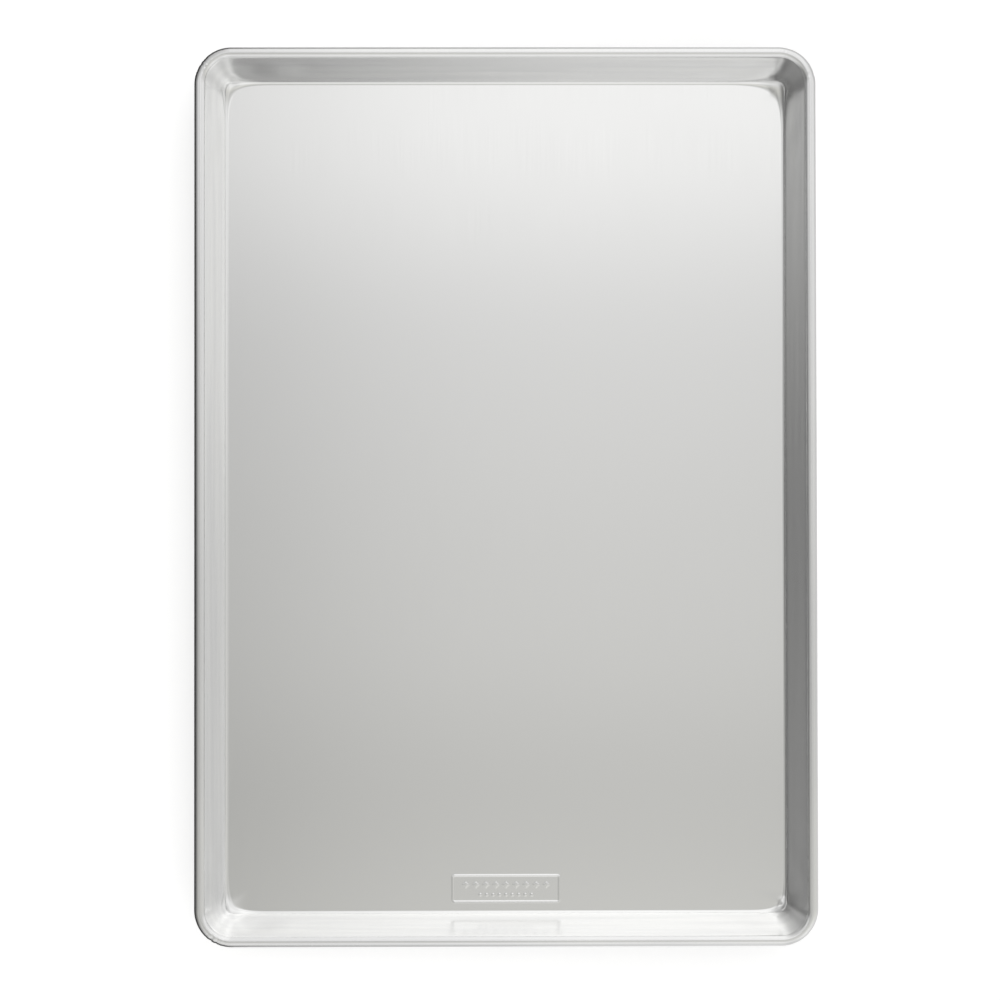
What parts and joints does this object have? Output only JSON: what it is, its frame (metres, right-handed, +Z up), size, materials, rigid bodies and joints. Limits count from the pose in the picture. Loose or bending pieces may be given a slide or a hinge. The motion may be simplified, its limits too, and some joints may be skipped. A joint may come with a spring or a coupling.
{
  "type": "jelly roll pan",
  "caption": "Shallow rectangular baking pan drawn from one aluminium sheet, with flared walls, rounded corners and an edge rolled over a steel wire.",
  "frame": {"origin": "centre of the underside of the floor", "axes": "+X across the width, +Y along the length and away from the stamped border, +Z up out of the pan"},
  "size_m": [0.2858, 0.4128, 0.0264],
  "materials": {
    "rolled_aluminium": "bare rolled sheet, satin",
    "galvanised_wire": "drawn and galvanised"
  },
  "bodies": {
    "root": {"pan_shell": "rolled_aluminium", "rim_wire": "galvanised_wire"}
  },
  "joints": []
}
